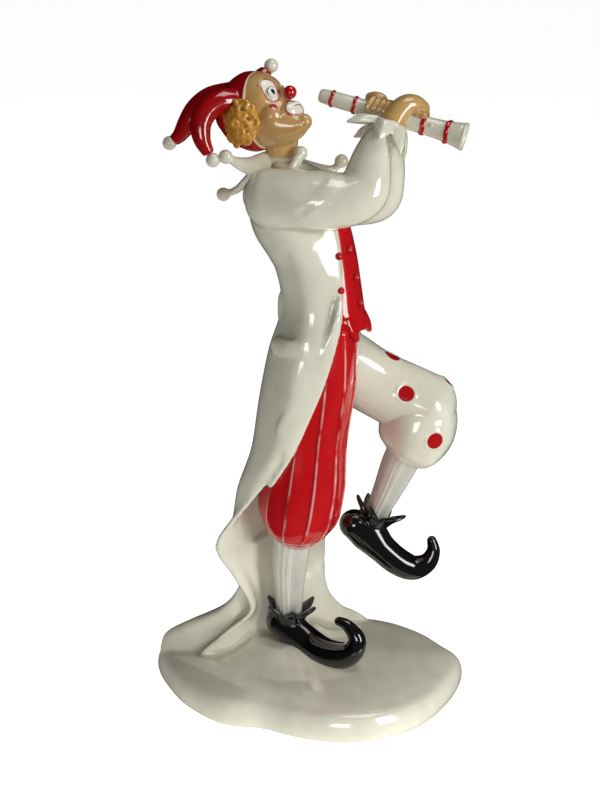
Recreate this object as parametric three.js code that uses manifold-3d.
// Clown musician figurine: one glazed porcelain casting on a puddle-shaped base.
// Millimetres, +Z up, +X the way the clown faces, -Y his right-hand side.
//
// Every form is a loft of rings or loops through a few stations. The forms are joined with a boolean
// union at the end, because the real figurine is luted together and fired as one piece.

import * as THREE from "three";
import { LoftGeometry } from "three/addons/geometries/LoftGeometry.js";
import { mergeVertices } from "three/addons/utils/BufferGeometryUtils.js";
import Module from "manifold-3d";

const wasm = await Module();
wasm.setup();

// Driving dimensions.
const BODY_TURN = THREE.MathUtils.degToRad(20); // the body is turned towards his right
const COAT_WALL = 3.2; // thickness of the coat's cloth
const FACING_WALL = 2.4; // thickness of the turned-back front edge
const BASE_RIM = 15; // height of the base's rounded rim
const PIPE_LENGTH = 78;
const PIPE_RADIUS = 4.4;
const BELL_RADIUS = 7; // radius of the pipe's flared end
const TIP_BALL = 3.7; // radius of the balls on cap and collar
const PLEATS = 8; // pleats round the near trouser leg
const SHOE_POINTS = 6; // points of a shoe's cuff
const TRIANGLES = 9900; // triangles of the finished casting

const LEFT = new THREE.Vector3(Math.sin(BODY_TURN), Math.cos(BODY_TURN), 0); // his left-hand side
const X_AXIS = new THREE.Vector3(1, 0, 0);
const Y_AXIS = new THREE.Vector3(0, 1, 0);
const Z_AXIS = new THREE.Vector3(0, 0, 1);

const forms = {};

// Keeps a form under its name; a repeated name gets a number.
function add(name, geometry) {
  let key = name;
  for (let k = 2; forms[key]; k++) key = `${name}_${k}`;
  forms[key] = geometry;
}

// Catmull-Rom between rows of numbers. Each row is one station, and all its values are smoothed alike.
function between(rows, t) {
  const last = rows.length - 1;
  const i = Math.min(Math.floor(t), last - 1);
  const f = t - i;
  const a = rows[Math.max(i - 1, 0)];
  const b = rows[i];
  const c = rows[i + 1];
  const d = rows[Math.min(i + 2, last)];
  return b.map((v, k) => {
    const slope = c[k] - a[k];
    const square = 2 * a[k] - 5 * v + 4 * c[k] - d[k];
    const cube = 3 * v - a[k] - 3 * c[k] + d[k];
    return 0.5 * (2 * v + slope * f + square * f * f + cube * f * f * f);
  });
}

// A direction made square to another one.
function squareTo(along, direction) {
  return direction.clone().addScaledVector(along, -direction.dot(along)).normalize();
}

// A limb along rows of [x, y, z, half width along `across`, half depth]. `fold` scales the radius by the
// angle, which starts at `across`, and by the place along the limb; `ridge` scales the depth alone by the
// angle. The ends are closed by low domes.
function limb(rows, options = {}) {
  const { steps = 6, around = 10, across = LEFT, domes = [1, 1] } = options;
  const { fold = () => 1, ridge = () => 1 } = options;
  const last = rows.length - 1;
  const rings = [];
  const addRing = (t, lift, scale) => {
    const row = between(rows, t);
    const before = new THREE.Vector3(...between(rows, Math.max(t - 0.05, 0)));
    const after = new THREE.Vector3(...between(rows, Math.min(t + 0.05, last)));
    const along = after.sub(before).normalize();
    const side = squareTo(along, across);
    const up = new THREE.Vector3().crossVectors(along, side);
    const centre = new THREE.Vector3(...row).addScaledVector(along, lift * row[4]);
    const ring = [];
    for (let k = 0; k < around; k++) {
      const angle = (2 * Math.PI * k) / around;
      const size = scale * fold(angle, t / last);
      const point = centre.clone().addScaledVector(side, size * row[3] * Math.cos(angle));
      ring.push(point.addScaledVector(up, size * row[4] * Math.sin(angle) * ridge(angle)));
    }
    rings.push(ring);
  };
  if (domes[0] > 0) addRing(0, -0.75 * domes[0], 0.62);
  for (let k = 0; k <= steps; k++) addRing((last * k) / steps, 0, 1);
  if (domes[1] > 0) addRing(last, 0.75 * domes[1], 0.62);
  return new LoftGeometry(rings, { closed: true, capStart: true, capEnd: true });
}

// A stack of closed loops, each through a few plan points: rows of [z, x1, y1, x2, y2, ...], lowest first.
function mound(rows, { steps = 6, around = 20 } = {}) {
  const last = rows.length - 1;
  const loops = [];
  for (let k = 0; k <= steps; k++) {
    const [z, ...plan] = between(rows, (last * k) / steps);
    const points = [];
    for (let g = 0; g < plan.length; g += 2) points.push(new THREE.Vector3(plan[g], plan[g + 1], z));
    const curve = new THREE.CatmullRomCurve3(points, true, "catmullrom", 0.5);
    loops.push(Array.from({ length: around }, (_, s) => curve.getPoint(s / around)));
  }
  return new LoftGeometry(loops, { closed: true, capStart: true, capEnd: true });
}

// Joins an outer and an inner grid of points, rows from the top down, into one closed body.
function closeSheet(outer, inner) {
  const rows = outer.length;
  const columns = outer[0].length;
  const back = rows * columns;
  const at = (row, column) => row * columns + column;
  const index = [];
  const quad = (a, b, c, d) => index.push(a, b, c, a, c, d);
  for (let r = 0; r < rows - 1; r++) {
    for (let c = 0; c < columns - 1; c++) {
      quad(at(r, c), at(r, c + 1), at(r + 1, c + 1), at(r + 1, c));
      quad(back + at(r, c), back + at(r + 1, c), back + at(r + 1, c + 1), back + at(r, c + 1));
    }
    const end = columns - 1;
    quad(at(r, 0), at(r + 1, 0), back + at(r + 1, 0), back + at(r, 0));
    quad(at(r + 1, end), at(r, end), back + at(r, end), back + at(r + 1, end));
  }
  for (let c = 0; c < columns - 1; c++) {
    const foot = rows - 1;
    quad(at(0, c + 1), at(0, c), back + at(0, c), back + at(0, c + 1));
    quad(at(foot, c), at(foot, c + 1), back + at(foot, c + 1), back + at(foot, c));
  }
  const geometry = new THREE.BufferGeometry().setFromPoints([...outer.flat(), ...inner.flat()]);
  geometry.setIndex(index);
  return geometry;
}

// Cloth with a true thickness. Each station, from the top down, is a row of guide points from the near
// edge round the back to the far edge. `wave` pushes the cloth out or in by place across and down, and
// `lining` is the depth of its inner face, which sinks into the body where the cloth lies on it.
function cloth(stations, options = {}) {
  const { steps = 20, across = 12, wall = COAT_WALL, wave = () => 0, lining = () => 0.5 * wall } = options;
  const last = stations.length - 1;
  const guides = stations[0].length;
  const flat = stations.map((points) => points.flat());
  const outer = [];
  const inner = [];
  for (let k = 0; k <= steps; k++) {
    const numbers = between(flat, (last * k) / steps);
    const plan = Array.from({ length: guides }, (_, g) => numbers.slice(3 * g, 3 * g + 3));
    const outerRow = [];
    const innerRow = [];
    for (let s = 0; s <= across; s++) {
      const t = ((guides - 1) * s) / across;
      const point = new THREE.Vector3(...between(plan, t));
      const before = new THREE.Vector3(...between(plan, Math.max(t - 0.1, 0)));
      const after = new THREE.Vector3(...between(plan, Math.min(t + 0.1, guides - 1)));
      const out = new THREE.Vector3().crossVectors(Z_AXIS, after.sub(before)).setZ(0).normalize();
      const edge = Math.min(1, 0.5 + Math.min(s, across - s));
      point.addScaledVector(out, wave(s / across, k / steps));
      outerRow.push(point.clone().addScaledVector(out, 0.5 * wall * edge));
      innerRow.push(point.clone().addScaledVector(out, -lining(k / steps) * edge));
    }
    outer.push(outerRow);
    inner.push(innerRow);
  }
  return closeSheet(outer, inner);
}

function ball([x, y, z], radius) {
  return new THREE.OctahedronGeometry(radius, 1).translate(x, y, z);
}

// A pointed leaf of cloth from a root, over a middle, to a tip, flat across `wide`.
function leaf(root, mid, tip, wide, width, wall) {
  const rows = [
    [...root, width, wall],
    [...mid, 0.8 * width, 0.8 * wall],
    [...tip, 0.2 * width, 0.5 * wall],
  ];
  return limb(rows, { steps: 2, around: 6, across: wide, domes: [0, 0] });
}

// A cuff with points round an axis. Each point is [degrees round the axis from `first`, reach outwards,
// lift along the axis]; between two points the cloth's edge comes back to a notch.
function pointedCuff(centre, axis, first, radius, points, wall = 2) {
  const side = squareTo(axis, first);
  const other = new THREE.Vector3().crossVectors(axis, side);
  const edge = [];
  points.forEach(([degrees, reach, lift], k) => {
    const [next, nextReach, nextLift] = points[(k + 1) % points.length];
    const gap = (next - degrees + 360) % 360 || 360;
    edge.push([degrees, reach, lift], [degrees + 0.25 * gap, 0.5 * reach, 0.5 * lift]);
    edge.push([degrees + 0.5 * gap, 0.1 * (reach + nextReach), 0.1 * (lift + nextLift)]);
    edge.push([degrees + 0.75 * gap, 0.5 * nextReach, 0.5 * nextLift]);
  });
  const lifts = points.map(([, , lift]) => 0.6 * lift);
  const ends = [Math.min(0, ...lifts) - wall, Math.max(0, ...lifts) + wall];
  const ring = (share, face) => edge.map(([degrees, reach, lift]) => {
    const angle = THREE.MathUtils.degToRad(degrees);
    const away = side.clone().multiplyScalar(Math.cos(angle)).addScaledVector(other, Math.sin(angle));
    const length = Math.hypot(reach, lift) + 1e-6;
    const half = 0.5 * face * wall * (1.3 - 0.6 * share);
    const out = radius + (share ? share * reach - (half * lift) / length : -2);
    const up = share ? share * lift + (half * reach) / length : ends[face < 0 ? 0 : 1];
    return centre.clone().addScaledVector(away, out).addScaledVector(axis, up);
  });
  const rings = [ring(0, -1), ring(0.5, -1), ring(1, -1), ring(1, 1), ring(0.5, 1), ring(0, 1)];
  return new LoftGeometry(rings, { closed: true, capStart: true, capEnd: true });
}

// The base: a puddle with a rounded rim, and a rise under the foot and the coat.
function addBase() {
  const outline = [
    [80, 24], [66, 45], [44, 61], [14, 64], [-22, 60], [-58, 54], [-82, 40], [-89, 18], [-80, -10],
    [-68, -31], [-50, -49], [-27, -55], [-8, -65], [14, -71], [37, -68], [61, -52], [79, -24], [88, 6],
  ];
  const level = (z, shrink) => [z, ...outline.flatMap(([x, y]) => [x * shrink, y * shrink])];
  add("base_white", mound([
    level(0, 0.96), level(3, 0.99), level(8, 1), level(BASE_RIM - 2, 0.985), level(BASE_RIM + 1.5, 0.93),
    level(BASE_RIM + 3.5, 0.8), level(BASE_RIM + 4.5, 0.6),
  ], { steps: 5, around: 34 }));
  add("rise_white", mound([
    [12, 24, 50, -40, 44, -66, 6, -54, -22, -12, -46, 32, -40, 46, -10],
    [18.5, 18, 42, -36, 38, -56, 8, -46, -16, -14, -36, 26, -32, 36, -8],
    [22.5, 8, 34, -30, 32, -44, 10, -36, -8, -16, -22, 10, -16, 18, -2],
    [28, 2, 28, -26, 26, -33, 10, -28, -2, -18, -9, -8, -4, 2, 4],
  ], { steps: 4, around: 20 }));
}

// Torso and waistcoat, with its two points at the hem.
function addBody() {
  add("torso_white", limb([
    [3, 0, 190, 25, 22], [4.5, 0, 205, 26, 22], [6.5, 0, 222, 25, 20.5], [6.5, 0, 236, 24.5, 19],
    [3.5, 0, 250, 27, 20], [-2, 0, 264, 31, 21.5], [-8, 0, 278, 34, 23], [-12.5, 0, 290, 31, 20],
    [-15, 0, 299, 20, 13], [-16, 0, 305, 10, 8],
  ], { steps: 7, around: 12, domes: [0, 0.5] }));
  add("waistcoat_red", limb([
    [-4, 0, 274, 16, 23], [0, -1, 264, 17, 22.5], [4.5, -1, 250, 18, 21], [7.5, -1.5, 236, 18.5, 20],
    [9, -2, 222, 19.5, 20.5], [9.5, -2.5, 214, 19, 21.5],
  ], { steps: 5, around: 14, domes: [0.2, 0.1] }));
  add("waistcoat_point_red", leaf([20, -15, 222], [22.5, -16.5, 216], [24.5, -17.5, 210.5], LEFT, 6, 3));
  add("waistcoat_point_red", leaf([27, -4, 222], [30, -4.5, 217], [31.8, -4.5, 213], LEFT, 6, 3));
}

// The tailcoat: cloth round the body that falls to the base, the train behind, the turned-back facing.
function addCoat() {
  const lining = (v) => (v < 0.35 ? 7 : 0.5 * COAT_WALL);
  const waves = (s, v) => 1.4 * Math.max(0, v - 0.35) * Math.sin(Math.PI * s) * Math.cos(6 * Math.PI * s);
  add("coat_white", cloth([
    [[-8, -9, 302], [-19, -13, 301], [-27, -4, 300], [-12, 13, 301], [-7, 9, 302]],
    [[2.7, -14, 290], [-23, -29, 289], [-33.5, -8, 288], [-2, 29, 289], [7, 17, 290]],
    [[13.6, -18.5, 271], [-13.5, -29, 268], [-25, -6, 268], [6, 30, 268], [16, 20, 268]],
    [[16.2, -21.4, 250], [-6.4, -27.3, 250], [-17.2, -4.2, 250], [13.4, 27.3, 250], [23, 17.5, 250]],
    [[16.9, -21.9, 228], [-3, -25.5, 228], [-13.6, -3.5, 228], [15, 25.5, 228], [25, 17, 228]],
    [[12.5, -27, 205], [-8, -30.5, 205], [-21, -8, 205], [-2, 29, 205], [18, 31, 205]],
    [[3, -29, 178], [-13, -32, 178], [-26.6, -11, 178], [-11, 27, 178], [9, 34, 180]],
    [[-11, -28, 150], [-21, -30.5, 150], [-31, -12, 150], [-18, 22, 150], [6, 32, 150]],
    [[-31, -26, 124], [-36.5, -21, 124], [-38.5, -9, 124], [-22, 19, 124], [6, 30, 124]],
    [[-52, -20, 96], [-44, -13, 96], [-36, -3, 96], [-19, 19, 96], [9, 27, 96]],
    [[-42.5, -12, 72], [-38, -8, 74], [-33, 0, 74], [-17, 20, 74], [9, 28, 72]],
    [[-33.5, -2, 49], [-32, 3, 50], [-29, 9, 52], [-13, 24, 52], [8, 31, 55]],
    [[-47, -3, 36.5], [-38, 4, 38], [-29, 12, 38], [-11, 28, 38], [13, 36, 42]],
    [[-64, 0, 21], [-46, 4, 20], [-32, 14, 18], [-8, 36, 16], [30, 50, 20]],
  ], { steps: 24, across: 11, wave: waves, lining }));
  add("facing_white", cloth([
    [[16.6, -23.5, 236], [15, -25, 236], [14.3, -25.6, 236]],
    [[15.6, -26, 219], [13, -28, 219], [10, -29.2, 219]],
    [[7.5, -30, 190], [2, -31.5, 190], [-4, -32.6, 190]],
    [[-0.5, -31, 170], [-9.5, -33.5, 170], [-18.5, -33.6, 168]],
    [[-6, -30.5, 157], [-10.5, -32.5, 157], [-15.5, -33, 157]],
    [[-11.5, -30, 147], [-13.2, -31.5, 147], [-15, -32, 147]],
    [[-21, -28.5, 132], [-22, -29, 132], [-23, -28.6, 132]],
  ], { steps: 8, across: 2, wall: FACING_WALL, lining: () => 2.6 }));
  add("train_white", mound([
    [13, -88, 20, -64, 1, -20, 14, 40, 56, -5, 57, -58, 47],
    [24, -85, 20, -58, 4, -20, 14, 30, 49, -8, 50, -55, 42],
    [34, -72, 14, -50, 5, -19, 14, 18, 40, -10, 43, -48, 34],
    [47, -51, 6, -40, 3, -18, 15, 11, 34, -11, 37, -38, 26],
    [64, -40, 1, -34, 0, -17, 15, 9, 30, -12, 32, -31, 20],
    [90, -35, -1, -31, -3, -17, 17, 8, 28, -13, 28, -28, 14],
  ], { steps: 5, around: 16 }));
  add("pocket_flap_white", limb([
    [-20, -19, 209, 4.8, 2], [-13, -28.5, 209.3, 4.8, 2], [-3, -32, 209.3, 4.8, 2],
  ], { steps: 3, around: 6, across: Z_AXIS, domes: [0.2, 0.2] }));
  add("belt_button_white", limb([
    [-15, -9, 233, 3, 2.6], [-15.4, -9, 223, 3, 2.6],
  ], { steps: 1, around: 6 }));
  for (const [x, z] of [[14.6, 257.7], [15.6, 239.4]]) add("button_red", ball([x, -23, z], 2.1));
  for (const [x, y, z] of [[20.5, -13.5, 259.3], [24.2, -12.5, 244.2], [26.5, -12, 230.1]]) {
    add("button_red", ball([x, y, z], 1.9));
  }
}

// A tall collar ring and four long points, each with a ball at its tip.
function addCollar() {
  add("collar_white", limb([
    [-15.5, -1, 301, 13, 12], [-15.5, -2.5, 307, 10, 9.5],
  ], { steps: 1, around: 12, domes: [0, 0] }));
  const points = [
    { rows: [[-20, -8, 303, 9, 3], [-28, -17, 303, 7.5, 2.4], [-36, -21, 305.5, 4.5, 2],
        [-42, -22, 308.5, 2, 1.8]],
      tip: [-44, -22, 309.5], wide: [0.5, -0.5, -0.8] },
    { rows: [[-22, 6, 300, 9, 3], [-32, 10, 294, 7.5, 2.4], [-39, 12, 287.5, 4, 2],
        [-44.5, 12, 285, 2, 1.8]],
      tip: [-47, 12, 284.5], wide: [0, 1, -0.3] },
    { rows: [[-16, -11, 303, 6, 3], [-10, -15, 302.5, 5, 2.8], [-6, -13, 308.5, 3, 2.4]],
      tip: [-5.5, -12, 310], wide: [0.4, 0.9, 0] },
    { rows: [[-8, 8, 301, 8, 3], [3, 12, 298, 6.5, 2.4], [11, 14, 297.5, 3.5, 2], [14.8, 14, 300, 2, 1.8]],
      tip: [16.4, 14, 302.1], wide: [0, 1, 0.3] },
  ];
  for (const { rows, tip, wide } of points) {
    const across = new THREE.Vector3(...wide);
    add("collar_point_white", limb(rows, { steps: 3, around: 6, across, domes: [0.5, 0] }));
    add("ball_white", ball(tip, TIP_BALL));
  }
}

// A shoe: a tube that follows the sole and curls up and back at the toe, with a cuff of loose points.
function addShoe(name, rows, ankle, direction, across) {
  const axis = direction.clone().normalize();
  const points = Array.from({ length: SHOE_POINTS }, (_, k) => [(360 * (k + 0.5)) / SHOE_POINTS, 8, 7]);
  add(name, limb(rows, { steps: 11, around: 9, across }));
  add(name, pointedCuff(ankle, axis, across, 7.5, points));
}

// The standing leg in a pleated knickerbocker, and the raised leg with its baggy knee.
function addLegs() {
  const pleats = (angle, t) => 1 + 0.05 * Math.sin(Math.PI * t) * Math.cos(PLEATS * angle + 1.5);
  const wrinkles = (angle, t) => 1 + 0.025 * Math.cos(5 * angle + 6 * t);
  const gathers = (angle, t) => 1 + 0.04 * t * Math.cos(6 * angle);
  add("near_trouser_red", limb([
    [6, -6.5, 215, 20, 19], [4, -8, 187, 20.5, 20.5], [-0.5, -8.5, 155, 21, 20.5], [-4, -9, 130, 22.5, 23],
    [-6.5, -8, 110, 22, 22], [-8, -6, 99, 17, 16], [-9, -5, 93, 11, 11],
  ], { steps: 10, around: 3 * PLEATS, domes: [0.3, 0.1], fold: pleats }));
  add("near_stocking_white", limb([
    [-9, -4, 104, 11, 11], [-11, -2, 84, 10.5, 10.5], [-12, 1, 66, 9, 9], [-12, 4, 48, 7.5, 7.5],
    [-11, 5, 38, 7.5, 7.5],
  ], { steps: 4, around: 10, domes: [0, 0] }));
  add("far_thigh_white", limb([
    [2, 13, 197, 18, 18], [16, 15, 191, 19.5, 19], [34, 16, 180, 19, 18.5], [50, 16, 171.5, 19, 19],
    [64, 15.5, 164, 20, 19.5],
  ], { steps: 6, around: 16, domes: [0.5, 0.9], fold: wrinkles }));
  add("far_knee_white", limb([
    [64, 15.5, 171, 17, 15], [62.5, 15.5, 161, 21, 20.5], [59.5, 15.5, 149, 22, 21.5],
    [57, 15, 140, 18, 18], [54.5, 15, 134, 11.5, 11.5],
  ], { steps: 5, around: 18, domes: [0.5, 0.1], fold: gathers }));
  add("far_stocking_white", limb([
    [55, 15, 141, 10.5, 10.5], [50, 14.5, 130, 10.2, 10.2], [44, 13.5, 116, 8.4, 8.4], [39, 13, 105, 7, 7],
    [36, 12.5, 97, 7, 7],
  ], { steps: 4, around: 10, domes: [0, 0] }));
  addShoe("near_shoe_black", [
    [-17, 7, 38, 8.5, 8.5], [-9, 3, 33, 8.5, 9.5], [0, -2, 28, 8.5, 8.8], [8, -9, 26, 9, 8.2],
    [17, -15, 26.5, 8.5, 8], [24, -19, 31, 6.8, 6.5], [26, -20, 39, 5, 5], [21, -18, 46, 3.4, 3.4],
    [16, -16, 48, 2.6, 2.6],
  ], new THREE.Vector3(-11, 4, 46), new THREE.Vector3(0.05, 0, 1), new THREE.Vector3(0.45, 0.89, 0));
  addShoe("far_shoe_black", [
    [25, 11, 96, 8.5, 8.5], [33, 11.5, 90, 8.5, 10.5], [41, 12, 81, 8.5, 8.5], [50, 12, 73, 8.6, 8],
    [59, 12, 69, 7.5, 7.2], [67, 12, 72, 5.6, 5.6], [70.5, 12, 79, 4, 4], [69.5, 12, 85.5, 2.8, 2.8],
  ], new THREE.Vector3(37.5, 12.5, 102), new THREE.Vector3(0.42, 0.05, 0.9), Y_AXIS);
}

// A turned-back cuff: a flared sleeve end and a ring of points that fall back over the sleeve.
function addCuff(name, wrist, direction, radius, points) {
  const along = direction.clone().normalize();
  const at = (offset) => wrist.clone().addScaledVector(along, offset);
  const ring = (offset, size) => [...at(offset), radius * size, radius * size];
  const rows = [ring(-7, 1.1), ring(-2, 1.1), ring(4, 0.9)];
  add(name, limb(rows, { steps: 2, around: 10, across: X_AXIS, domes: [0, 0] }));
  add(name, pointedCuff(at(1), along, X_AXIS, radius, points));
}

function addArms() {
  const creases = (angle, t) => 1 + 0.03 * Math.cos(3 * angle + 9 * t);
  add("near_sleeve_white", limb([
    [-22, -25, 288.5, 15, 15.5], [-8, -29, 289, 15.5, 14.8], [7, -31, 288.3, 15, 15.2],
    [18.5, -31, 288.8, 14, 13.8], [27, -30, 293, 12.5, 12.8], [29.5, -26, 302, 11.5, 11.8],
    [32, -22, 311, 9.8, 9.8], [36.5, -18, 320, 8, 8],
  ], { steps: 12, around: 12, fold: creases, domes: [0.8, 0.2] }));
  add("far_sleeve_white", limb([
    [-2, 25, 280.5, 15, 14.5], [12, 26, 279.3, 14, 14.6], [25, 25.5, 279.5, 13.8, 14.4],
    [35.5, 22.5, 282.5, 13.8, 13.8], [39.5, 17, 292.5, 11.4, 11.4], [40, 10, 305, 9.8, 9.8],
    [38, 4, 317, 7.5, 7.5],
  ], { steps: 10, around: 11, fold: creases, domes: [0.8, 0.2] }));
  addCuff("near_cuff_white", new THREE.Vector3(38.5, -17, 322), new THREE.Vector3(0.3, 0.3, 0.9), 8.5, [
    [20, 4, -11], [80, 4, -8], [140, 4, -8], [200, 10, -6], [265, 4, -9], [320, 5, -13],
  ]);
  addCuff("far_cuff_white", new THREE.Vector3(37.5, 3, 319), new THREE.Vector3(-0.1, -0.3, 0.95), 7.5, [
    [20, 4, -8], [80, 4, -9], [140, 4, -9], [190, 6, -2], [250, 4, -8], [320, 4, -8],
  ]);
}

// The pipe, and both hands round it.
function addPipeAndHands() {
  const mouth = new THREE.Vector3(5.6, 2, 338);
  const along = new THREE.Vector3(74.1, -20, -19.1).normalize();
  const near = squareTo(along, Y_AXIS).negate();
  const top = new THREE.Vector3().crossVectors(near, along);
  if (top.z < 0) top.negate();
  const at = (place) => mouth.clone().addScaledVector(along, place);
  const ring = (place, radius) => [...at(place), radius, radius];
  const ringAt = (place) => [[place - 1.4, 0], [place - 1.2, 1], [place + 1.2, 1], [place + 1.4, 0]];
  const rings = [6, 18.5, 56, 69].flatMap(ringAt);
  const wide = PIPE_RADIUS;
  const bore = [
    [0, wide - 0.8], [6, wide - 0.4], [30, wide], [56, wide + 0.4], [68, wide + 1], [PIPE_LENGTH, BELL_RADIUS],
  ];
  const radiusAt = (place) => {
    const k = Math.max(1, bore.findIndex(([end]) => end >= place));
    return THREE.MathUtils.mapLinear(place, bore[k - 1][0], bore[k][0], bore[k - 1][1], bore[k][1]);
  };
  const turns = [[-1.2, -1.4], [0, 0], ...rings, [PIPE_LENGTH, 0]].map(([place, raised]) => {
    const radius = radiusAt(Math.max(place, 0)) + 0.7 * raised;
    const centre = at(place);
    return Array.from({ length: 12 }, (_, k) => {
      const angle = (2 * Math.PI * k) / 12;
      const point = centre.clone().addScaledVector(near, -radius * Math.cos(angle));
      return point.addScaledVector(top, radius * Math.sin(angle));
    });
  });
  add("pipe_white", new LoftGeometry(turns, { closed: true, capStart: true, capEnd: true }));

  // Four fingers side by side, hooked round the pipe from one angle to another: 0 is its near side and 90
  // its top. The ridges of the section are the single fingers.
  const knuckles = (angle) => 0.72 + 0.28 * Math.abs(Math.cos(4 * angle));
  const fingers = (place, from, to, lean) => {
    const rows = [];
    for (let k = 0; k <= 3; k++) {
      const angle = THREE.MathUtils.degToRad(from + ((to - from) * k) / 3);
      const middle = at(place + (lean * k) / 3).addScaledVector(near, 5.6 * Math.cos(angle));
      rows.push([...middle.addScaledVector(top, 5.6 * Math.sin(angle)), 7.4, 2.7]);
    }
    return limb(rows, { steps: 3, around: 22, across: along, ridge: knuckles, domes: [0, 0.8] });
  };
  add("far_fingers_skin", fingers(30.5, 140, 20, -2.2));
  add("near_fingers_skin", fingers(49.5, 60, 200, 2));
  add("far_palm_skin", limb([
    [38, 4, 318, 6, 5.5], [37, 5, 326, 7.5, 5], [35, 3.5, 333, 7.5, 4.6], [34, 0, 337, 6, 3.5],
  ], { steps: 3, around: 8, across: along, domes: [0, 1] }));
  add("near_palm_skin", limb([
    [40, -16, 322, 6, 6], [44, -14.5, 330, 6.2, 6.2], [49, -12, 334.5, 6.6, 5.4], [54, -10, 334.5, 6.4, 5],
    [58, -8.5, 331.5, 5.4, 4.4],
  ], { steps: 4, around: 8, across: Y_AXIS, domes: [0, 1] }));
}

// Head, cap and curls. Head coordinates: forward out of the face, his left, up to the crown.
function addHead() {
  const centre = new THREE.Vector3(-25.9, -4, 328);
  const forward = new THREE.Vector3(0.565, -0.335, 0.754).normalize();
  const left = squareTo(forward, new THREE.Vector3(0.528, 0.849, -0.019));
  const crown = new THREE.Vector3().crossVectors(forward, left);
  const inHead = (f, l, u) => {
    const point = centre.clone().addScaledVector(forward, f).addScaledVector(left, l);
    return point.addScaledVector(crown, u);
  };

  add("neck_skin", limb([
    [-16, -1, 300, 8.5, 8.5], [-15.6, -3, 309, 8.2, 8.2], [-16, -4, 317, 9.4, 9.4], [-19, -4, 323, 10, 10],
  ], { steps: 3, around: 10, domes: [0, 0] }));
  add("head_skin", limb([
    [...inHead(15.5, 0, -21), 5.5, 4], [...inHead(11.5, 0, -17.5), 9, 8.5],
    [...inHead(7, 0, -12), 12.5, 12.5], [...inHead(3, 0, -4), 14.5, 16], [...inHead(1.5, 0, 5), 15.5, 18],
    [...inHead(0, 0, 13), 14.5, 16.5], [...inHead(-1, 0, 19), 9.5, 11],
  ], { steps: 9, around: 14, across: left, domes: [0.5, 0.5] }));
  add("nose_red", ball(inHead(21.2, 0, -3), 3.5));
  add("nose_bridge_skin", limb([[...inHead(17.2, 0, 4), 1.8, 2], [...inHead(18.8, 0, -3), 2.8, 2.8]],
    { steps: 1, around: 6, across: left, domes: [0, 0] }));
  add("mouth_white", limb([
    [...inHead(13, -7, -9.5), 3.6, 2.8], [...inHead(15.8, 0, -11), 6, 4.2],
    [...inHead(13, 7, -9.5), 3.6, 2.8],
  ], { steps: 4, around: 10, across: crown }));

  // The cap is a bonnet on the back of the head, with three horns that end in balls.
  const backward = forward.clone().multiplyScalar(-0.78).addScaledVector(crown, 0.62).normalize();
  const capRing = (place, width, height) => {
    const middle = inHead(3, 0, 1.5).addScaledVector(backward, place);
    return [...middle, width, height];
  };
  add("cap_red", limb([
    capRing(0, 17, 20), capRing(7, 17.8, 20.8), capRing(14, 16.3, 18.3), capRing(20, 13, 14),
    capRing(24, 8, 9),
  ], { steps: 5, around: 14, across: left, domes: [0, 0.4] }));
  const horns = [
    { rows: [[-38, -8, 335, 8.5, 8], [-46, -13, 336.5, 7.5, 7], [-52.5, -17, 333.5, 6.5, 6.2],
        [-56.5, -20, 327, 5.6, 5.8], [-56, -22, 318.5, 4.4, 4.6], [-52.5, -22, 311, 3, 3]],
      tip: [-50.5, -22, 307.8] },
    { rows: [[-42, 4, 336, 10, 9], [-52, 4, 335, 8.5, 7.6], [-59.5, 3, 330.5, 7, 6.5],
        [-64.5, 2, 324, 6, 5.5], [-69, 2, 317.5, 4, 4], [-72.5, 2, 314.5, 3, 3]],
      tip: [-74.5, 2, 313.3] },
    { rows: [[-28, 10, 341, 8, 8], [-26, 12, 346, 5.5, 5.5], [-23.5, 14, 350, 3.2, 3.2]],
      tip: [-21, 14, 352.3] },
  ];
  for (const { rows, tip } of horns) {
    add("horn_red", limb(rows, { steps: 6, around: 8, across: Y_AXIS, domes: [0.5, 0] }));
    add("ball_white", ball(tip, TIP_BALL));
  }

  // A bunch of curls over each ear: an egg whose radius swells at every curl.
  const curls = (angle, t) => 1 + 0.24 * Math.cos(4 * angle + 5 * Math.PI * t) * Math.cos(4 * Math.PI * t);
  for (const side of [-1, 1]) {
    const { x, y, z } = inHead(-1.4, 16.5 * side, -1);
    add("curls_yellow", limb([
      [x, y, z - 8.5, 5, 4], [x, y, z - 5, 8.4, 6.5], [x, y, z, 9.2, 7.5], [x, y, z + 5, 8.4, 6.5],
      [x, y, z + 8.5, 5, 4],
    ], { steps: 7, around: 12, across: X_AXIS, fold: curls }));
  }
}

addBase();
addBody();
addCoat();
addCollar();
addLegs();
addArms();
addPipeAndHands();
addHead();

// One closed solid from one closed geometry.
function toSolid(geometry) {
  const bare = new THREE.BufferGeometry();
  bare.setAttribute("position", geometry.getAttribute("position"));
  if (geometry.index) bare.setIndex(geometry.index);
  const welded = mergeVertices(bare, 1e-4);
  return new wasm.Manifold(new wasm.Mesh({
    numProp: 3,
    vertProperties: new Float32Array(welded.getAttribute("position").array),
    triVerts: new Uint32Array(welded.index.array),
  }));
}

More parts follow.
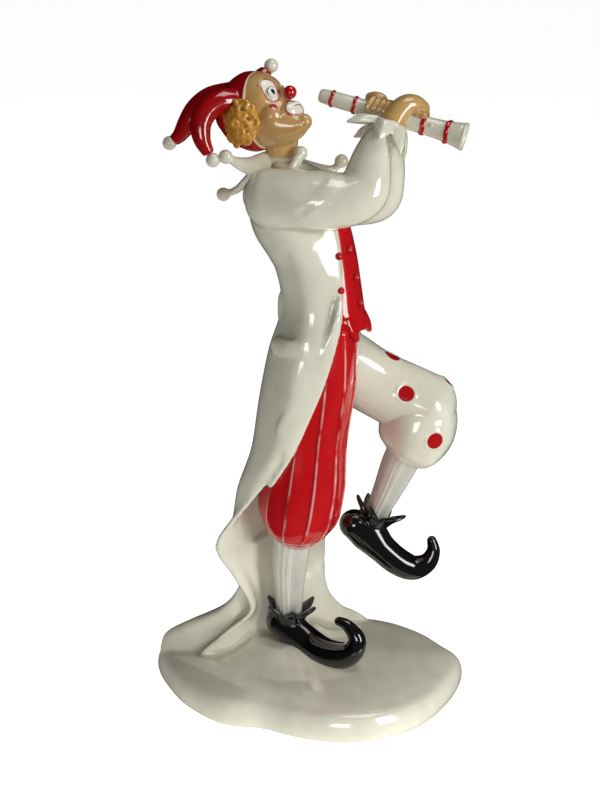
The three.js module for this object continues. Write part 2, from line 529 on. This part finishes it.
// Thins a closed triangle mesh to a number of triangles. It merges the two ends of an edge wherever the
// surface moves least (the sum of squared distances to the planes round both ends), and skips a merge
// that would pinch the surface or turn a triangle over.
function thin(positions, triangles, target) {
  const points = [];
  for (let i = 0; i < positions.length; i += 3) points.push(new THREE.Vector3().fromArray(positions, i));
  const faces = [];
  for (let i = 0; i < triangles.length; i += 3) faces.push([...triangles.slice(i, i + 3)]);
  const around = points.map(() => new Set());
  const planes = points.map(() => []);
  faces.forEach((face, f) => {
    const plane = new THREE.Plane().setFromCoplanarPoints(...face.map((v) => points[v]));
    for (const v of face) {
      around[v].add(f);
      planes[v].push(plane);
    }
  });
  const neighbours = (v) => new Set([...around[v]].flatMap((f) => faces[f]).filter((w) => w !== v));
  const cost = (place, a, b) => {
    let sum = 1e-3 * points[a].distanceToSquared(points[b]);
    for (const plane of [...planes[a], ...planes[b]]) sum += plane.distanceToPoint(place) ** 2;
    return sum;
  };
  const best = (a, b) => {
    const places = [points[a], points[b], points[a].clone().lerp(points[b], 0.5)];
    const merges = places.map((place) => ({ a, b, place, cost: cost(place, a, b) }));
    return merges.sort((p, q) => p.cost - q.cost)[0];
  };
  const turnsOver = (v, other, place) => [...around[v]].some((f) => {
    if (faces[f].includes(other)) return false;
    const old = new THREE.Triangle(...faces[f].map((w) => points[w]));
    const moved = new THREE.Triangle(...faces[f].map((w) => (w === v ? place : points[w])));
    const normal = moved.getNormal(new THREE.Vector3());
    return normal.dot(old.getNormal(new THREE.Vector3())) < 0.35 || moved.getArea() < 0.02;
  });

  let count = faces.length;
  while (count > target) {
    const edges = [];
    for (let v = 0; v < points.length; v++) {
      for (const w of neighbours(v)) if (v < w) edges.push(best(v, w));
    }
    edges.sort((p, q) => p.cost - q.cost);
    const touched = new Set();
    const before = count;
    for (const { a, b, place } of edges.slice(0, Math.ceil(edges.length / 6))) {
      if (count <= target) break;
      if (touched.has(a) || touched.has(b)) continue;
      const nextToA = neighbours(a);
      const nextToB = neighbours(b);
      const shared = [...nextToA].filter((v) => nextToB.has(v));
      if (shared.length !== 2 || turnsOver(a, b, place) || turnsOver(b, a, place)) continue;
      for (const v of [a, b, ...nextToA, ...nextToB]) touched.add(v);
      points[a] = place.clone();
      for (const f of around[b]) {
        if (faces[f].includes(a)) {
          for (const v of faces[f]) if (v !== b) around[v].delete(f);
          faces[f] = null;
          count -= 1;
        } else {
          faces[f] = faces[f].map((v) => (v === b ? a : v));
          around[a].add(f);
        }
      }
      around[b].clear();
      planes[a].push(...planes[b]);
      planes[b] = [];
    }
    if (count === before) break;
  }
  const thinned = new THREE.BufferGeometry().setFromPoints(points);
  thinned.setIndex(faces.filter(Boolean).flat());
  return thinned;
}

const casting = Object.values(forms).map(toSolid).reduce((joined, solid) => joined.add(solid)).getMesh();
const geometry = thin(casting.vertProperties, casting.triVerts, TRIANGLES);
geometry.computeVertexNormals();

const glaze = new THREE.MeshStandardMaterial({ color: 0xd9d7cd, roughness: 0.12, metalness: 0 });
const figurine = new THREE.Mesh(geometry, glaze);
figurine.name = "clown_figurine";

const group = new THREE.Group();
group.add(figurine);

export default group;
